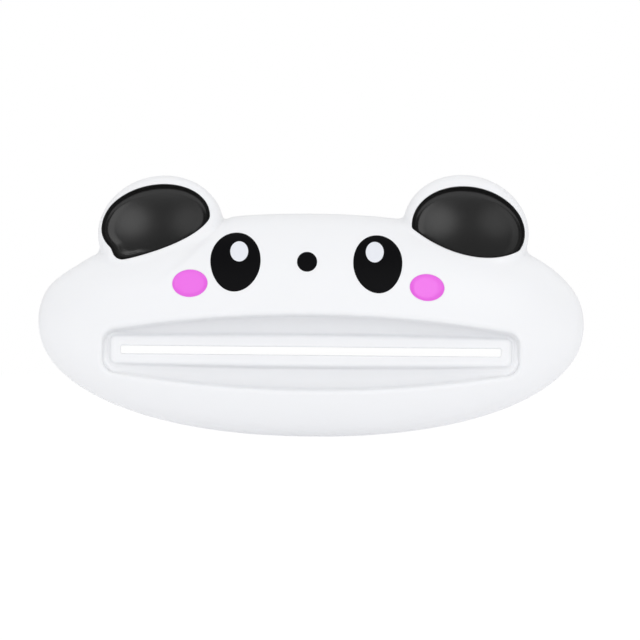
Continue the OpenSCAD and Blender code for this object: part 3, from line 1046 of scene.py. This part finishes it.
@dataclass(frozen=True)
class EarHollow:
    """Outline and section of the hollow in the front of one ear.

    The outline is where two ovals overlap, the crown above and the brow below. Both are
    given as on the right side, with heights above the head's widest line. A heel widens
    the crown at its lower outer corner.
    """

    EDGE_STEPS = ((1.15, 0.0), (0.85, 0.01), (0.5, 0.13), (0.13, 0.5))
    SAMPLES = 6000
    CORNER_WEIGHT = 1.0 * MM
    BEND_STEPS = 9
    FLOOR_SHARES = (0.9, 0.1, 9)

    side: Side
    crown: Oval
    brow: Oval
    heel: float = 0.0
    heel_angle: float = math.radians(-41.0)
    heel_spread: float = math.radians(15.0)
    floor: float = 4.05 * MM
    slope: float = 0.17
    bow: tuple[float, float] = (1.5 * MM, 0.65 * MM)
    bow_half: tuple[float, float] = (9.5 * MM, 5.5 * MM)
    bow_in: float = 0.75 * MM
    cove: float = 1.35 * MM
    brow_share: float = 0.2
    draft: float = 0.1 * MM
    edge: float = 0.22 * MM
    corner: float = 0.25 * MM
    rim: float = 0.5 * MM
    paint: float = 0.08 * MM
    count: int = 180
    middle_out: float = 0.3 * MM
    middle_up: float = 1.2 * MM

    def _reach(self, a: np.ndarray, inset: float, form: HeadForm) -> np.ndarray:
        """How far the outline lies from the hollow's middle at each angle.

        Args:
            a: The angles, anticlockwise from outwards on the right.
            inset: How far the outline is drawn in.
            form: The form of the head.

        Returns:
            The distance at each angle.
        """
        way = np.stack([np.cos(a), np.sin(a)], axis=1)
        middle = self.middle(form)
        low = middle - np.array([0.0, form.middle_z])
        ear = Oval(tuple(form.ear), (form.ear_half_width, form.ear_half_height), form.ear_tilt)
        share = self.brow_share if inset > 0.0 else 1.0
        off_heel = (a - self.heel_angle + math.pi) % FULL_TURN - math.pi
        near = np.maximum(1.0 - off_heel ** 2 / self.heel_spread ** 2, 0.0)
        lines = [self.crown.reach(low, way, inset) + self.heel * near ** 2,
                 ear.reach(middle, way, self.rim + inset),
                 self.brow.reach(low, way, inset * share)]
        nearest = lines[0]
        for line in lines[1:]:
            close = np.maximum(self.corner - np.abs(nearest - line), 0.0)
            nearest = np.minimum(nearest, line) - close ** 2 / (4.0 * self.corner)
        return nearest

    def middle(self, form: HeadForm) -> np.ndarray:
        """The point inside the hollow from which its outline is drawn, on the right.

        Args:
            form: The form of the head.

        Returns:
            The point, as X and Z.
        """
        return form.ear + np.array([self.middle_out, self.middle_up])

    def line(self, form: HeadForm, inset: float = 0.0, share: float = 1.0) -> np.ndarray:
        """Draws the outline drawn in by inset and shrunk to a share, on its own side.

        Args:
            form: The form of the head.
            inset: How far it is drawn in.
            share: How far it is shrunk towards the middle.

        Returns:
            The closed line, as X and Z.
        """
        dense = np.linspace(0.0, FULL_TURN, self.SAMPLES, endpoint=False)
        reach = self._reach(dense, 0.0, form)[:, None]
        round_line = reach * np.stack([np.cos(dense), np.sin(dense)], axis=1)
        even = spaced(round_line, self.count, corner=self.CORNER_WEIGHT, closed=True)
        a = np.unwrap(np.arctan2(even[:, 1], even[:, 0]))
        way = np.stack([np.cos(a), np.sin(a)], axis=1)
        line = self.middle(form) + self._reach(a, inset, form)[:, None] * share * way
        return line * np.array([self.side.value, 1.0])

    def floor_y(self, plan: np.ndarray, form: HeadForm, lift: float) -> np.ndarray:
        """Depth of the floor, which is bowed both ways and lies deeper towards the top.

        Args:
            plan: Flat points, as X and Z.
            form: The form of the head.
            lift: Thickness of what already lines the hollow.

        Returns:
            The Y of each point.
        """
        centre = (self.middle(form) - [self.bow_in, 0.0]) * [self.side.value, 1.0]
        across = plan - centre
        share = across / np.array(self.bow_half)
        bowed = (1.0 - share ** 2) @ np.array(self.bow)
        return -self.floor - lift + self.slope * across[:, 1] + bowed

    def section(self, draft: Draft, form: HeadForm, lift: float) -> list[list[int]]:
        """Adds the rings of wall, cove and floor, from the top of the wall inwards.

        Args:
            draft: The draft that gets the rings.
            form: The form of the head.
            lift: Thickness of what already lines the hollow.

        Returns:
            The rings and, as a last one, the single point in the middle of the floor.
        """
        inset = self.draft + lift
        rings = [draft.ring(self.line(form, lift), on_skin=1.0, sunk=self.edge)]
        inner = inset + self.cove
        base = self.floor_y(self.line(form, inner), form, lift)
        for turn in np.linspace(0.0, QUARTER, self.BEND_STEPS):
            rings.append(draft.ring(
                self.line(form, inset + self.cove * (1.0 - math.cos(turn))),
                base - self.cove * (1.0 - math.sin(turn))))
        for share in np.linspace(*self.FLOOR_SHARES):
            plan = self.line(form, inner, share)
            rings.append(draft.ring(plan, self.floor_y(plan, form, lift)))
        tip = self.middle(form)[None] * np.array([self.side.value, 1.0])
        rings.append(draft.ring(tip, self.floor_y(tip, form, lift)))
        return rings


@dataclass(frozen=True)
class Cheek:
    """A shallow oval hollow in the face, painted pink, with its widest slope above."""

    EDGE_STEPS = ((1.6, 0.0), (1.0, 0.0), (0.5, 0.13), (0.13, 0.5))
    BOWL = ((1.0, 0.0), (0.95, 0.35), (0.88, 0.68), (0.8, 0.88), (0.7, 0.97), (0.5, 1.0),
            (0.25, 1.0))

    side: Side
    out: float
    up: float
    half_width: float
    half_height: float
    tilt: float
    depth: float = 0.55 * MM
    lowered: float = 0.3 * MM
    edge: float = 0.15 * MM
    paint: float = 0.04 * MM
    count: int = 72

    def line(self, form: HeadForm, inset: float = 0.0, share: float = 1.0) -> np.ndarray:
        """Draws the oval drawn in by inset and shrunk to a share towards its low middle.

        Args:
            form: The form of the head.
            inset: How far it is drawn in.
            share: How far it is shrunk.

        Returns:
            The closed line, as X and Z.
        """
        a = np.linspace(0.0, FULL_TURN, self.count, endpoint=False)
        oval = np.stack([(self.half_width - inset) * np.cos(a),
                         (self.half_height - inset) * np.sin(a)], axis=1)
        middle = np.array([self.out, form.middle_z + self.up - self.lowered * (1.0 - share)])
        return middle + share * turned(oval, self.tilt)

    def section(self, draft: Draft, form: HeadForm, lift: float) -> list[list[int]]:
        """Adds the rings of the hollow's bowl, ending in its middle point.

        Args:
            draft: The draft that gets the rings.
            form: The form of the head.
            lift: Thickness of what already lines the hollow.

        Returns:
            The rings and, as a last one, the middle point.
        """
        rings = []
        for share, low in self.BOWL:
            depth = self.edge + (self.depth - self.edge) * low - lift * min(1.0, 4.0 * low)
            rings.append(draft.ring(self.line(form, lift, share), on_skin=1.0, sunk=depth))
        middle = self.line(form, share=0.0)[:1]
        rings.append(draft.ring(middle, on_skin=1.0, sunk=self.depth - lift))
        return rings


@dataclass(frozen=True)
class Print:
    """A patch of ink on the face, from a round dot to an egg."""

    SHARES = (1.0, 0.97, 0.85, 0.65, 0.45, 0.25, 0.1)
    BITE = 0.02 * MM

    name: str
    finish: Finish
    out: float
    up: float
    width: float
    height: float
    taper: float = 0.0
    lean: float = 0.0
    under: float = 0.0
    thickness: float = 0.03 * MM
    count: int = 96

    def line(self, form: HeadForm, share: float) -> np.ndarray:
        """Draws the patch's outline shrunk to a share.

        Args:
            form: The form of the head.
            share: How far it is shrunk.

        Returns:
            The closed line, as X and Z.
        """
        a = np.linspace(0.0, FULL_TURN, self.count, endpoint=False)
        u, v = np.cos(a), np.sin(a)
        x = self.width / 2.0 * u * (1.0 + self.taper * v) - self.lean * v * np.abs(v)
        egg = np.stack([x, self.height / 2.0 * v], axis=1)
        return np.array([self.out, form.middle_z + self.up]) + share * egg

    def build(self, tree: SkinTree, dome: Dome) -> bpy.types.Object:
        """Makes the patch, a thin closed skin on the face.

        Args:
            tree: The tree that raises the skin.
            dome: The face of the head.

        Returns:
            The patch.
        """
        draft, form = Draft(), tree.form
        top, root = self.under + self.thickness, self.BITE - self.under
        edge = self.under + 0.5 * self.thickness
        over = [draft.ring(self.line(form, share), on_skin=1.0,
                           sunk=-top if share < 1.0 else -edge) for share in self.SHARES]
        back = [draft.ring(self.line(form, share), on_skin=1.0, sunk=root)
                for share in self.SHARES]
        draft.bridge(*over[::-1], *back)
        middle = np.array([[self.out, form.middle_z + self.up]])
        draft.cap(over[-1], draft.ring(middle, on_skin=1.0, sunk=-top)[0])
        draft.cap(back[-1], draft.ring(middle, on_skin=1.0, sunk=root)[0])
        return tree.make(self.name, draft, dome, self.finish.material())


@dataclass
class Mouth:
    """Sizes of the slot, of the lip round it and of the recess in the face."""

    count: int
    slot: Band = Band(32.95 * MM, 0.68 * MM, 0.68 * MM, 0.3 * MM)
    lip: Band = Band(34.8 * MM, 2.85 * MM, 2.4 * MM, 1.0 * MM)
    recess: Band = Band(36.1 * MM, 6.5 * MM, 3.4 * MM, 2.4 * MM, 0.25 * MM)
    entry: Band = Band(36.5 * MM, 7.0 * MM, 4.3 * MM, 2.5 * MM)
    lip_face: float = 7.5 * MM
    floor: float = 6.0 * MM
    floor_rise: float = 0.7 * MM
    recess_edge: float = 0.9 * MM
    recess_cove: float = 0.9 * MM
    cove_width: float = 1.5 * MM
    recess_draft: float = 0.25 * MM
    lip_cove: float = 0.45 * MM
    lip_edge: float = 0.75 * MM
    slot_edge: float = 0.3 * MM
    slot_draft: float = 0.2 * MM
    entry_edge: float = 0.7 * MM
    entry_flare: float = 1.25
    bend_steps: int = 7
    support: float = 0.12 * MM

    def floor_y(self, plan: np.ndarray) -> np.ndarray:
        """Depth of the recess's floor, which rises towards its two ends.

        Args:
            plan: Flat points, as X and Z.

        Returns:
            The Y of each point.
        """
        return -self.floor - self.floor_rise * (plan[:, 0] / self.recess.half_width) ** 4

    def bend(self) -> np.ndarray:
        """Angles round a quarter turn, at which the rings of an edge or a cove lie.

        Returns:
            The angles, from 0 up.
        """
        return np.linspace(0.0, QUARTER, self.bend_steps)


@dataclass
class Shell:
    """What the two shells share: the rim, the skin up to a level, and the lining."""

    LINING_SHARES = (0.2, 0.4, 0.58, 0.74, 0.86, 0.94, 0.98)
    LINING_SLOPE = 2.0

    form: HeadForm
    mouth: Mouth
    dome: Dome
    wall: float = 1.9 * MM
    seam: float = 0.12 * MM
    rim_step: float = 1.1 * MM
    skin_spacing: float = 0.5 * MM
    levels: tuple[float, ...] = field(default=tuple(
        share / FRONT_EAR_DEPTH_MM for share in (0.35, 0.7, 1.1, 1.6, 2.2, 2.8, 3.4, 3.9)))
    guide_levels: tuple[float, ...] = field(default=tuple(
        share / FRONT_EAR_DEPTH_MM
        for share in (4.4, 4.8, 5.15, 5.5, 5.75, 5.95, 6.15, 6.3, 6.45)))

    def outer_band(self, draft: Draft) -> list[list[int]]:
        """Adds the rings of the rim's fine seam and of the skin up to the last level.

        Args:
            draft: The shell's draft.

        Returns:
            The rings, from the rim inwards.
        """
        rim = self.form.outline(self.dome)
        rings = [
            draft.ring(rim, on_skin=0.5, drawn_in=self.seam),
            draft.ring(rim, self.dome.facing.value * self.seam, on_skin=0.5)]
        for level in self.levels:
            depth = level * self.dome.ear_depth
            line = self.form.outline(self.dome, depth)
            rings.append(draft.ring(line, self.dome.facing.value * depth, on_skin=1.0))
        return rings

    def guides(self) -> list[np.ndarray]:
        """Draws the lines along the skin that lie above the outer band.

        Returns:
            The lines, as X and Z.
        """
        return [self.form.outline(self.dome, level * self.dome.ear_depth)
                for level in self.guide_levels]

    def room(self, plan: np.ndarray, hollows: list[EarHollow]) -> np.ndarray:
        """Depth of the lining at flat points, kept clear of the ears' hollows.

        Args:
            plan: The points, as X and Z.
            hollows: The hollows to keep clear of.

        Returns:
            The depth at each point.
        """
        depth = self.form.skin(plan, self.dome, self.wall)
        for hollow in hollows:
            line = hollow.line(self.form)
            gap = np.array([np.min(np.linalg.norm(line - p, axis=1)) for p in plan])
            away = np.where(inside(plan, line), 0.0, gap)
            depth = np.minimum(depth,
                               self.LINING_SLOPE * np.maximum(away - self.wall, 0.0))
        return np.maximum(depth, self.rim_step)


class FrontShell(Shell):
    """The front half of the head, with its recess, lip, slot and ear hollows."""

    def build(self, tree: SkinTree, hollows: list[EarHollow],
              cheeks: list[Cheek]) -> bpy.types.Object:
        """Makes the shell.

        Args:
            tree: The tree that raises the skin.
            hollows: The hollows in the ears.
            cheeks: The hollows of the cheeks.

        Returns:
            The shell, a closed mesh.
        """
        draft = Draft()
        band = self.outer_band(draft)
        draft.bridge(*band)
        mouth_rings = self._mouth_rings(draft)
        draft.bridge(*mouth_rings)
        holes = [mouth_rings[0]]
        for hollow in (*hollows, *cheeks):
            holes.append(self._hollow_rings(draft, hollow))
        draft.fill(band[-1], holes, self.guides(), self.skin_spacing)
        self._lining(draft, mouth_rings[-1], band[0], hollows)
        return tree.make("front_shell_moulding", draft, self.dome, WHITE.material())

    def _mouth_rings(self, draft: Draft) -> list[list[int]]:
        """Adds the rings from the face over the recess and the lip into the slot.

        Args:
            draft: The shell's draft.

        Returns:
            The rings, from the face inwards.
        """
        m, n = self.mouth, self.mouth.count
        rings = [draft.ring(m.recess.line(n, m.recess_edge + m.support), on_skin=1.0)]
        for turn in m.bend():
            rings.append(draft.ring(
                m.recess.line(n, m.recess_edge * (1.0 - math.sin(turn))), on_skin=1.0,
                sunk=m.recess_edge * (1.0 - math.cos(turn))))
        wall, foot = m.recess.line(n, -m.recess_draft), m.lip.line(n, m.lip_cove + m.support)
        top = -self.form.skin(wall, self.dome) + m.recess_edge
        base = m.floor_y(wall)
        cove = np.minimum(m.recess_cove, 0.9 * (base - top))
        moat = np.linalg.norm(wall - foot, axis=1, keepdims=True)
        cove_share = np.minimum(m.cove_width / moat, 0.95)
        for turn in m.bend():
            plan = wall + (foot - wall) * cove_share * (1.0 - math.cos(turn))
            rings.append(draft.ring(plan, base - cove * (1.0 - math.sin(turn))))
        rings.append(draft.ring(foot, m.floor_y(foot)))
        base = m.floor_y(m.lip.line(n))
        share = m.lip_cove / (m.lip_cove + m.lip_edge)
        cove = share * (base + m.lip_face)
        edge = (1.0 - share) * (base + m.lip_face)
        for turn in m.bend():
            rings.append(draft.ring(m.lip.line(n, m.lip_cove * (1.0 - math.sin(turn))),
                                    base - cove * (1.0 - math.cos(turn))))
        for turn in m.bend():
            rings.append(draft.ring(m.lip.line(n, -m.lip_edge * (1.0 - math.cos(turn))),
                                    -m.lip_face + edge * (1.0 - math.sin(turn))))
        rings.append(draft.ring(m.lip.line(n, -m.lip_edge - m.support), -m.lip_face))
        rings.append(draft.ring(m.slot.line(n, m.slot_edge + m.support), -m.lip_face))
        for turn in m.bend():
            rings.append(draft.ring(m.slot.line(n, m.slot_edge * (1.0 - math.sin(turn))),
                                    -m.lip_face + m.slot_edge * (1.0 - math.cos(turn))))
        rings.append(draft.ring(m.slot.line(n, m.slot_draft), 0.0))
        return rings

    def _hollow_rings(self, draft: Draft, hollow: EarHollow | Cheek) -> list[int]:
        """Adds one hollow of the face.

        Args:
            draft: The shell's draft.
            hollow: The hollow of an ear or of a cheek.

        Returns:
            The ring that the hollow's edge starts at.
        """
        edge = hollow.edge
        rings = [draft.ring(hollow.line(self.form, -edge * grow), on_skin=1.0,
                            sunk=edge * low)
                 for grow, low in hollow.EDGE_STEPS]
        rings += hollow.section(draft, self.form, 0.0)
        draft.bridge(*rings[:-1])
        draft.cap(rings[-2], rings[-1][0])
        return rings[0]

    def _lining(self, draft: Draft, slot: list[int], rim: list[int],
                hollows: list[EarHollow]) -> None:
        """Adds the joint face, the inner walls and the step in the rim.

        Args:
            draft: The shell's draft.
            slot: The ring where the slot ends.
            rim: The ring round the parting plane.
            hollows: The hollows in the ears.
        """
        m, n, form = self.mouth, self.mouth.count, self.form
        edge = m.recess.line(n, self.wall)
        wide = form.outline(self.dome, inset=self.wall)
        back = m.floor - self.wall
        rings = [slot,
                 draft.ring(m.lip.line(n), 0.0),
                 draft.ring(m.lip.line(n), -back),
                 draft.ring(m.recess.line(n, self.wall - m.recess_draft), -back)]
        for share in (0.0, *self.LINING_SHARES):
            plan = mix(edge, wide, share)
            rings.append(draft.ring(plan, -self.room(plan, hollows)))
        step = form.outline(self.dome, inset=self.wall / 2.0)
        rings += [draft.ring(wide, -self.rim_step), draft.ring(step, -self.rim_step),
                  draft.ring(step, 0.0), rim]
        draft.bridge(*rings)


class RearShell(Shell):
    """The back half of the head, with the funnel that leads the tube to the slot."""

    FUNNEL_STEPS = 10

    def build(self, tree: SkinTree) -> bpy.types.Object:
        """Makes the shell, a closed mesh, with the tree that raises its skin.

        Args:
            tree: The tree.

        Returns:
            The shell.
        """
        draft = Draft()
        m, n, form = self.mouth, self.mouth.count, self.form
        band = self.outer_band(draft)
        draft.bridge(*band)
        edge = m.entry_edge
        rings = [draft.ring(m.entry.line(n, edge + m.support), on_skin=1.0)]
        for turn in m.bend():
            rings.append(draft.ring(m.entry.line(n, edge * (1.0 - math.sin(turn))),
                                    on_skin=1.0, sunk=edge * (1.0 - math.cos(turn))))
        draft.fill(band[-1], [rings[0]], self.guides(), self.skin_spacing)
        narrow, wide = m.slot.line(n, m.slot_draft), m.entry.line(n)
        deep = np.minimum(form.skin(wide, self.dome), self.dome.land) - edge
        for share in np.linspace(0.9, 0.0, self.FUNNEL_STEPS):
            rings.append(draft.ring(mix(narrow, wide, share ** m.entry_flare), deep * share))
        outer = m.entry.line(n, self.wall)
        start = m.lip.line(n)
        limit = self.dome.land - self.wall
        deep = np.minimum(form.skin(outer, self.dome, self.wall), limit)
        for share in np.linspace(0.0, 1.0, self.FUNNEL_STEPS):
            plan = mix(start, outer, share ** m.entry_flare)
            rings.append(draft.ring(plan, np.minimum(deep * share, limit)))
        rim = form.outline(self.dome, inset=self.wall)
        for share in self.LINING_SHARES:
            plan = mix(outer, rim, share)
            rings.append(draft.ring(plan, np.minimum(self.room(plan, []), limit)))
        rings += [draft.ring(rim, self.rim_step), draft.ring(rim, 0.0), band[0]]
        draft.bridge(*rings)
        return tree.make("rear_shell_moulding", draft, self.dome, WHITE.material())


@dataclass
class Face:
    """The painted hollows and the printed patches on the front shell."""

    BACKING = 0.005 * MM

    form: HeadForm
    dome: Dome
    shift: float = -0.85 * MM
    hollows: list[EarHollow] = field(default_factory=lambda: [
        EarHollow(Side.LEFT,
                  Oval((27.67 * MM, 17.89 * MM), (9.56 * MM, 6.38 * MM), math.radians(12.1)),
                  Oval((43.81 * MM, 17.35 * MM), (26.1 * MM, 7.88 * MM), math.radians(6.5)),
                  heel=1.0 * MM),
        EarHollow(Side.RIGHT,
                  Oval((27.14 * MM, 16.43 * MM), (9.89 * MM, 7.43 * MM), math.radians(9.2)),
                  Oval((25.26 * MM, 23.48 * MM), (10.2 * MM, 15.67 * MM),
                       math.radians(-58.7)))])
    cheeks: list[Cheek] = field(default_factory=lambda: [
        Cheek(Side.LEFT, -21.04 * MM, 6.64 * MM, 3.07 * MM, 2.38 * MM, math.radians(3.4)),
        Cheek(Side.RIGHT, 20.02 * MM, 6.29 * MM, 3.01 * MM, 2.33 * MM, math.radians(-5.5))])

    def prints(self) -> list[tuple[Print, str]]:
        """Lists the printed patches, each with the node that it stands for.

        Returns:
            The patches and the names of their nodes.
        """
        middle = self.shift
        return [
            (Print("nose_dot_print", INK, middle + 0.06 * MM, 10.55 * MM, 3.49 * MM,
                   3.44 * MM), "nose_dot"),
            (Print("eye_left_print", INK, middle - 12.34 * MM, 10.4 * MM, 8.7 * MM,
                   10.25 * MM, taper=0.05, lean=-0.2 * MM), "eye_left"),
            (Print("eye_right_print", INK, middle + 12.3 * MM, 10.24 * MM, 8.5 * MM,
                   10.07 * MM, taper=0.05, lean=0.2 * MM), "eye_right"),
            (Print("eye_glint_left_print", GLINT, middle - 11.71 * MM, 12.25 * MM, 3.11 * MM,
                   3.51 * MM, under=0.03 * MM, count=64), "eye_glint_left"),
            (Print("eye_glint_right_print", GLINT, middle + 11.76 * MM, 12.34 * MM,
                   3.12 * MM, 3.58 * MM, under=0.03 * MM, count=64), "eye_glint_right")]

    def paint(self, tree: SkinTree, hollow: EarHollow | Cheek, name: str,
              finish: Finish) -> bpy.types.Object:
        """Makes the thin lining of paint in one hollow.

        Args:
            tree: The tree that raises the skin.
            hollow: The hollow of an ear or of a cheek.
            name: The piece's name.
            finish: The paint.

        Returns:
            The lining, a closed mesh.
        """
        draft = Draft()
        back = hollow.section(draft, self.form, self.BACKING)
        front = hollow.section(draft, self.form, hollow.paint)
        draft.bridge(*back[-2::-1], *front[:-1])
        draft.cap(back[-2], back[-1][0])
        draft.cap(front[-2], front[-1][0])
        return tree.make(name, draft, self.dome, finish.material())


@dataclass(frozen=True)
class Lamp:
    """A soft lamp that looks at the face, with its power in watts."""

    name: str
    place: tuple[float, float, float]
    size: tuple[float, float]
    power_w: float
    shape: LampShape = LampShape.RECTANGLE


@dataclass
class Studio:
    """Floor, lights, background and camera.

    The pairs hold what plain rays meet and then what camera rays or far directions meet.
    """

    FLOOR_SIZE = 3.0
    FLOOR_COLOUR = (0.85, 0.85, 0.86, 1.0)
    FLOOR_GLOW_SHARE = (0.45, 0.88)
    FLOOR_GLOW = (1.2, 1.05)
    TURN_TO_BACKDROP = (-0.35, 0.1)

    floor_z: float
    frame_width: float = 111.5 * MM
    distance: float = 1500.0 * MM
    aim: tuple[float, float] = (1.54 * MM, 5.4 * MM)
    roll: float = math.radians(0.546)
    sensor: float = 36.0
    surround: float = 1.13
    mirrored_surround: float = 0.08
    mirrored_backdrop: float = 0.95
    lamps: tuple[Lamp, ...] = (
        Lamp("front_left_softbox", (-0.36, -0.95, 0.33), (0.44, 0.48), 0.5,
             LampShape.ELLIPSE),
        Lamp("front_right_softbox", (0.35, -0.95, 0.33), (0.45, 0.48), 1.05,
             LampShape.ELLIPSE),
        Lamp("top_softbox", (0.0, -0.5, 0.8), (1.2, 0.7), 0.6),
        Lamp("far_softbox", (0.0, -1.9, 0.4), (1.7, 1.7), 1.7))

    def _floor(self) -> None:
        """Lays a pale floor that shows white to the camera and keeps a soft shadow."""
        half, z = self.FLOOR_SIZE / 2.0, self.floor_z
        mesh = bpy.data.meshes.new("studio_floor")
        mesh.from_pydata([(-half, -half, z), (half, -half, z), (half, half, z),
                          (-half, half, z)], [], [(0, 1, 2, 3)])
        floor = bpy.data.objects.new("studio_floor", mesh)
        bpy.context.scene.collection.objects.link(floor)
        material = bpy.data.materials.new("pale_floor")
        material.use_nodes = True
        nodes, links = material.node_tree.nodes, material.node_tree.links
        nodes.clear()
        out = nodes.new("ShaderNodeOutputMaterial")
        matt = nodes.new("ShaderNodeBsdfDiffuse")
        matt.inputs["Color"].default_value = self.FLOOR_COLOUR
        bright = nodes.new("ShaderNodeEmission")
        path = nodes.new("ShaderNodeLightPath")
        both = nodes.new("ShaderNodeMixShader")
        for values, socket in ((self.FLOOR_GLOW_SHARE, both.inputs["Fac"]),
                               (self.FLOOR_GLOW, bright.inputs["Strength"])):
            spread = nodes.new("ShaderNodeMapRange")
            spread.inputs["To Min"].default_value = values[0]
            spread.inputs["To Max"].default_value = values[1]
            links.new(path.outputs["Is Camera Ray"], spread.inputs["Value"])
            links.new(spread.outputs["Result"], socket)
        links.new(matt.outputs[0], both.inputs[1])
        links.new(bright.outputs[0], both.inputs[2])
        links.new(both.outputs[0], out.inputs["Surface"])
        floor.data.materials.append(material)

    def _surround(self) -> None:
        """Sets an even soft surround that shows as white behind the object."""
        world = bpy.data.worlds.new("white_surround")
        bpy.context.scene.world = world
        world.use_nodes = True
        nodes, links = world.node_tree.nodes, world.node_tree.links
        nodes.clear()
        out = nodes.new("ShaderNodeOutputWorld")
        light = nodes.new("ShaderNodeBackground")
        light.inputs["Strength"].default_value = self.surround
        heading = nodes.new("ShaderNodeTexCoord")
        parts = nodes.new("ShaderNodeSeparateXYZ")
        links.new(heading.outputs["Generated"], parts.inputs[0])
        behind = nodes.new("ShaderNodeMapRange")
        behind.inputs["From Min"].default_value = self.TURN_TO_BACKDROP[0]
        behind.inputs["From Max"].default_value = self.TURN_TO_BACKDROP[1]
        behind.inputs["To Min"].default_value = self.mirrored_surround
        behind.inputs["To Max"].default_value = self.mirrored_backdrop
        links.new(parts.outputs["Y"], behind.inputs["Value"])
        mirrored_room = nodes.new("ShaderNodeBackground")
        links.new(behind.outputs["Result"], mirrored_room.inputs["Strength"])
        white = nodes.new("ShaderNodeBackground")
        white.inputs["Color"].default_value = (1.0, 1.0, 1.0, 1.0)
        path = nodes.new("ShaderNodeLightPath")
        inner = nodes.new("ShaderNodeMixShader")
        links.new(path.outputs["Is Glossy Ray"], inner.inputs["Fac"])
        links.new(light.outputs[0], inner.inputs[1])
        links.new(mirrored_room.outputs[0], inner.inputs[2])
        both = nodes.new("ShaderNodeMixShader")
        links.new(path.outputs["Is Camera Ray"], both.inputs["Fac"])
        links.new(inner.outputs[0], both.inputs[1])
        links.new(white.outputs[0], both.inputs[2])
        links.new(both.outputs[0], out.inputs["Surface"])

    def _hang(self, lamp: Lamp) -> None:
        """Hangs a soft lamp that looks at the face.

        Args:
            lamp: Its name, place, size, power and outline.
        """
        light = bpy.data.lights.new(lamp.name, "AREA")
        light.shape = lamp.shape.value
        light.size, light.size_y = lamp.size
        light.energy = lamp.power_w
        holder = bpy.data.objects.new(lamp.name, light)
        holder.location = lamp.place
        aim = Vector((0.0, 0.0, self.aim[1])) - Vector(lamp.place)
        holder.rotation_mode = "QUATERNION"
        holder.rotation_quaternion = aim.to_track_quat("-Z", "Y")
        bpy.context.scene.collection.objects.link(holder)

    def _camera(self) -> None:
        """Sets the camera straight in front, with the photograph's slight roll."""
        lens = bpy.data.cameras.new("camera")
        lens.sensor_width = self.sensor
        lens.lens = self.sensor * self.distance / self.frame_width
        holder = bpy.data.objects.new("camera", lens)
        holder.matrix_world = (
            Matrix.Translation((self.aim[0], -self.distance, self.aim[1]))
            @ Matrix.Rotation(QUARTER, 4, "X") @ Matrix.Rotation(self.roll, 4, "Z"))
        bpy.context.scene.collection.objects.link(holder)
        bpy.context.scene.camera = holder

    def build(self) -> None:
        """Sets up the whole studio."""
        self._floor()
        self._surround()
        for lamp in self.lamps:
            self._hang(lamp)
        self._camera()
        bpy.context.scene.view_settings.view_transform = "Standard"


def settle(piece: bpy.types.Object, node: str) -> None:
    """Puts a finished piece on the body in place of its node, and reports it.

    Args:
        piece: The piece.
        node: The node that it stands for.
    """
    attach(piece, "root")
    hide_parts(node)
    LOG.info("%s stands for %s, %d points", piece.name, node, len(piece.data.vertices))


def main() -> None:
    """Loads the frame and builds the squeezer and its studio in order."""
    logging.basicConfig(level=logging.INFO, format="%(message)s")
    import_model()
    front_low, front_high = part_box("front_shell")
    rear_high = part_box("rear_shell")[1]

    form = HeadForm(half_width=front_high.x)
    front = Dome(Facing.FRONT, FRONT_DEPTH, FRONT_EAR_DEPTH_MM * MM)
    rear = Dome(Facing.REAR, rear_high.y + REAR_CROWN, REAR_EAR_DEPTH, land=rear_high.y)
    mouth = Mouth(form.count)
    tree = SkinTree(form)
    face = Face(form, front)

    shell = FrontShell(form, mouth, front)
    settle(shell.build(tree, face.hollows, face.cheeks), "front_shell")
    settle(RearShell(form, mouth, rear).build(tree), "rear_shell")
    for hollow in face.hollows:
        node = f"ear_paint_{hollow.side.label}"
        settle(face.paint(tree, hollow, f"{node}_gloss", BLACK), node)
    for cheek in face.cheeks:
        node = f"cheek_{cheek.side.label}"
        settle(face.paint(tree, cheek, f"{node}_paint", PINK), node)
    for patch, node in face.prints():
        settle(patch.build(tree, front), node)

    Studio(floor_z=front_low.z).build()


if __name__ == "__main__":
    main()
